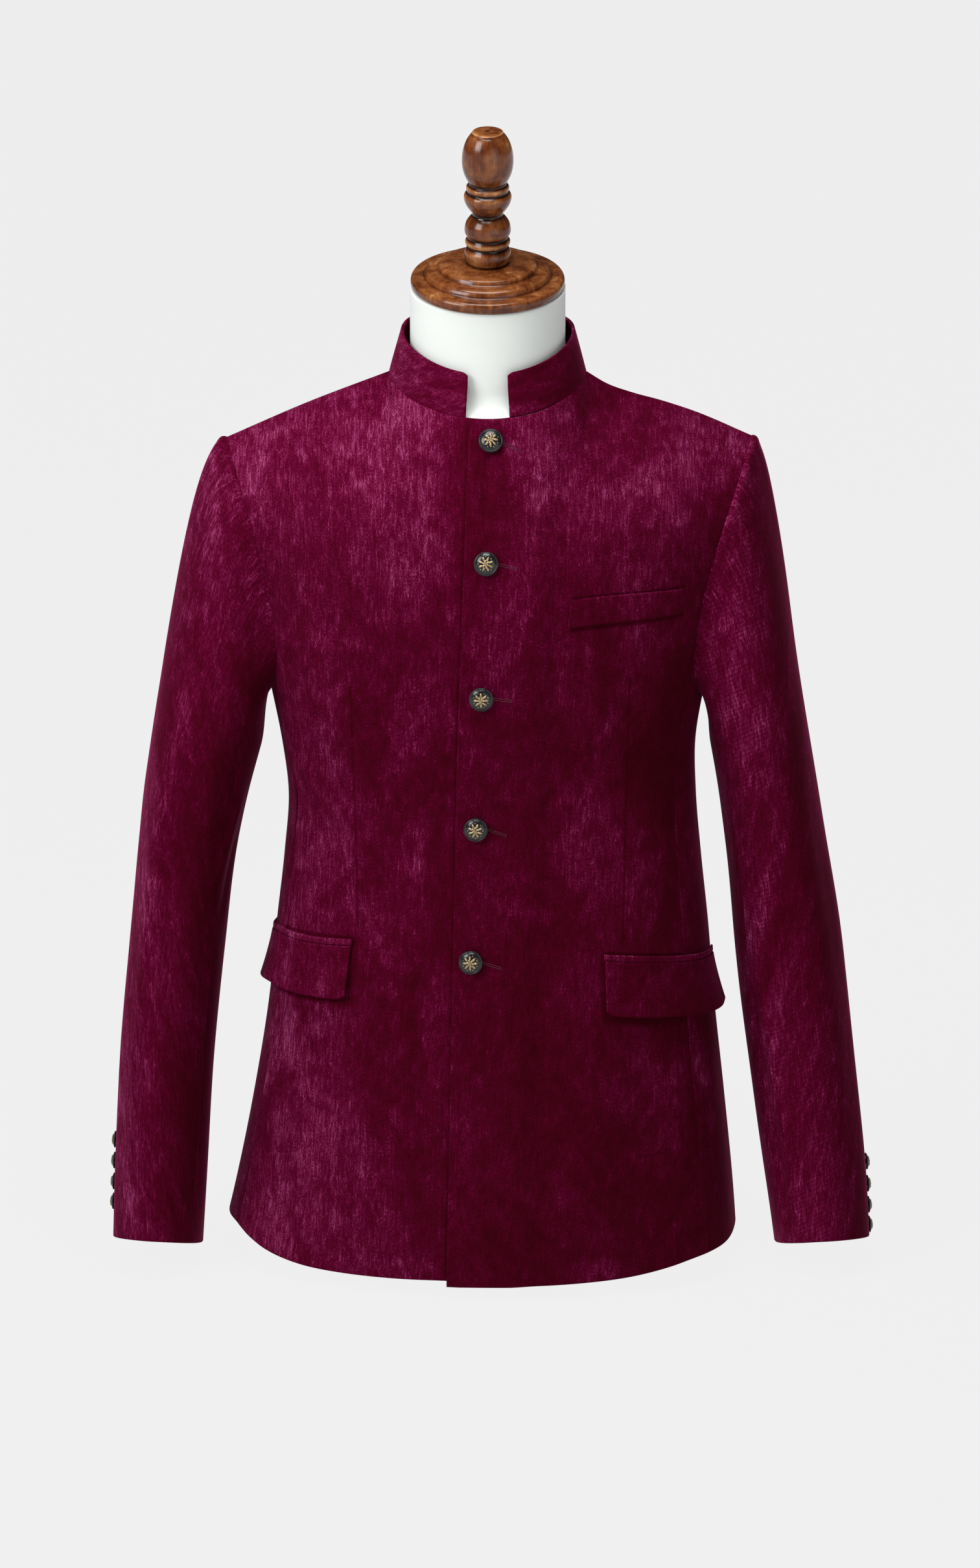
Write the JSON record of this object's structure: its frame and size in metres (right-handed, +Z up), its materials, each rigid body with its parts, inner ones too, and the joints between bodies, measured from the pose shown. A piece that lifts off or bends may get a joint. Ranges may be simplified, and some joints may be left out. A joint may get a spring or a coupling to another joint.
{
  "type": "prince coat on dress form",
  "caption": "Velvet prince coat with stand collar, buttoned front, chest welt and flap pockets, on a white limbless dress form with turned wooden neck cap.",
  "frame": {"origin": "centre of the whole part's box, on the plane that the base plate rests on", "axes": "+Z up, -Y to the wearer's front, +X to the wearer's left"},
  "size_m": [0.6618, 0.2694, 0.9892],
  "materials": {
    "velvet": "matte pile with a sheen",
    "form_cover": "matte",
    "stained_wood": "glossy varnish",
    "black_button": "glossy",
    "gilt": "worn gilt"
  },
  "bodies": {
    "root": {"base_plate": "stained_wood", "chest_welt": "velvet", "collar": "velvet", "finial": "stained_wood", "form_torso": "form_cover", "front_button_1": "black_button", "front_button_2": "black_button", "front_button_3": "black_button", "front_button_4": "black_button", "front_button_5": "black_button", "left_back": "velvet", "left_cuff_button_1": "black_button", "left_cuff_button_2": "black_button", "left_cuff_button_3": "black_button", "left_cuff_button_4": "black_button", "left_flap": "velvet", "left_front": "velvet", "left_jet": "velvet", "left_side": "velvet", "left_sleeve_under": "velvet", "left_sleeve_upper": "velvet", "neck_cap": "stained_wood", "post": "stained_wood", "right_back": "velvet", "right_cuff_button_1": "black_button", "right_cuff_button_2": "black_button", "right_cuff_button_3": "black_button", "right_cuff_button_4": "black_button", "right_flap": "velvet", "right_front": "velvet", "right_jet": "velvet", "right_side": "velvet", "right_sleeve_under": "velvet", "right_sleeve_upper": "velvet"}
  },
  "joints": []
}
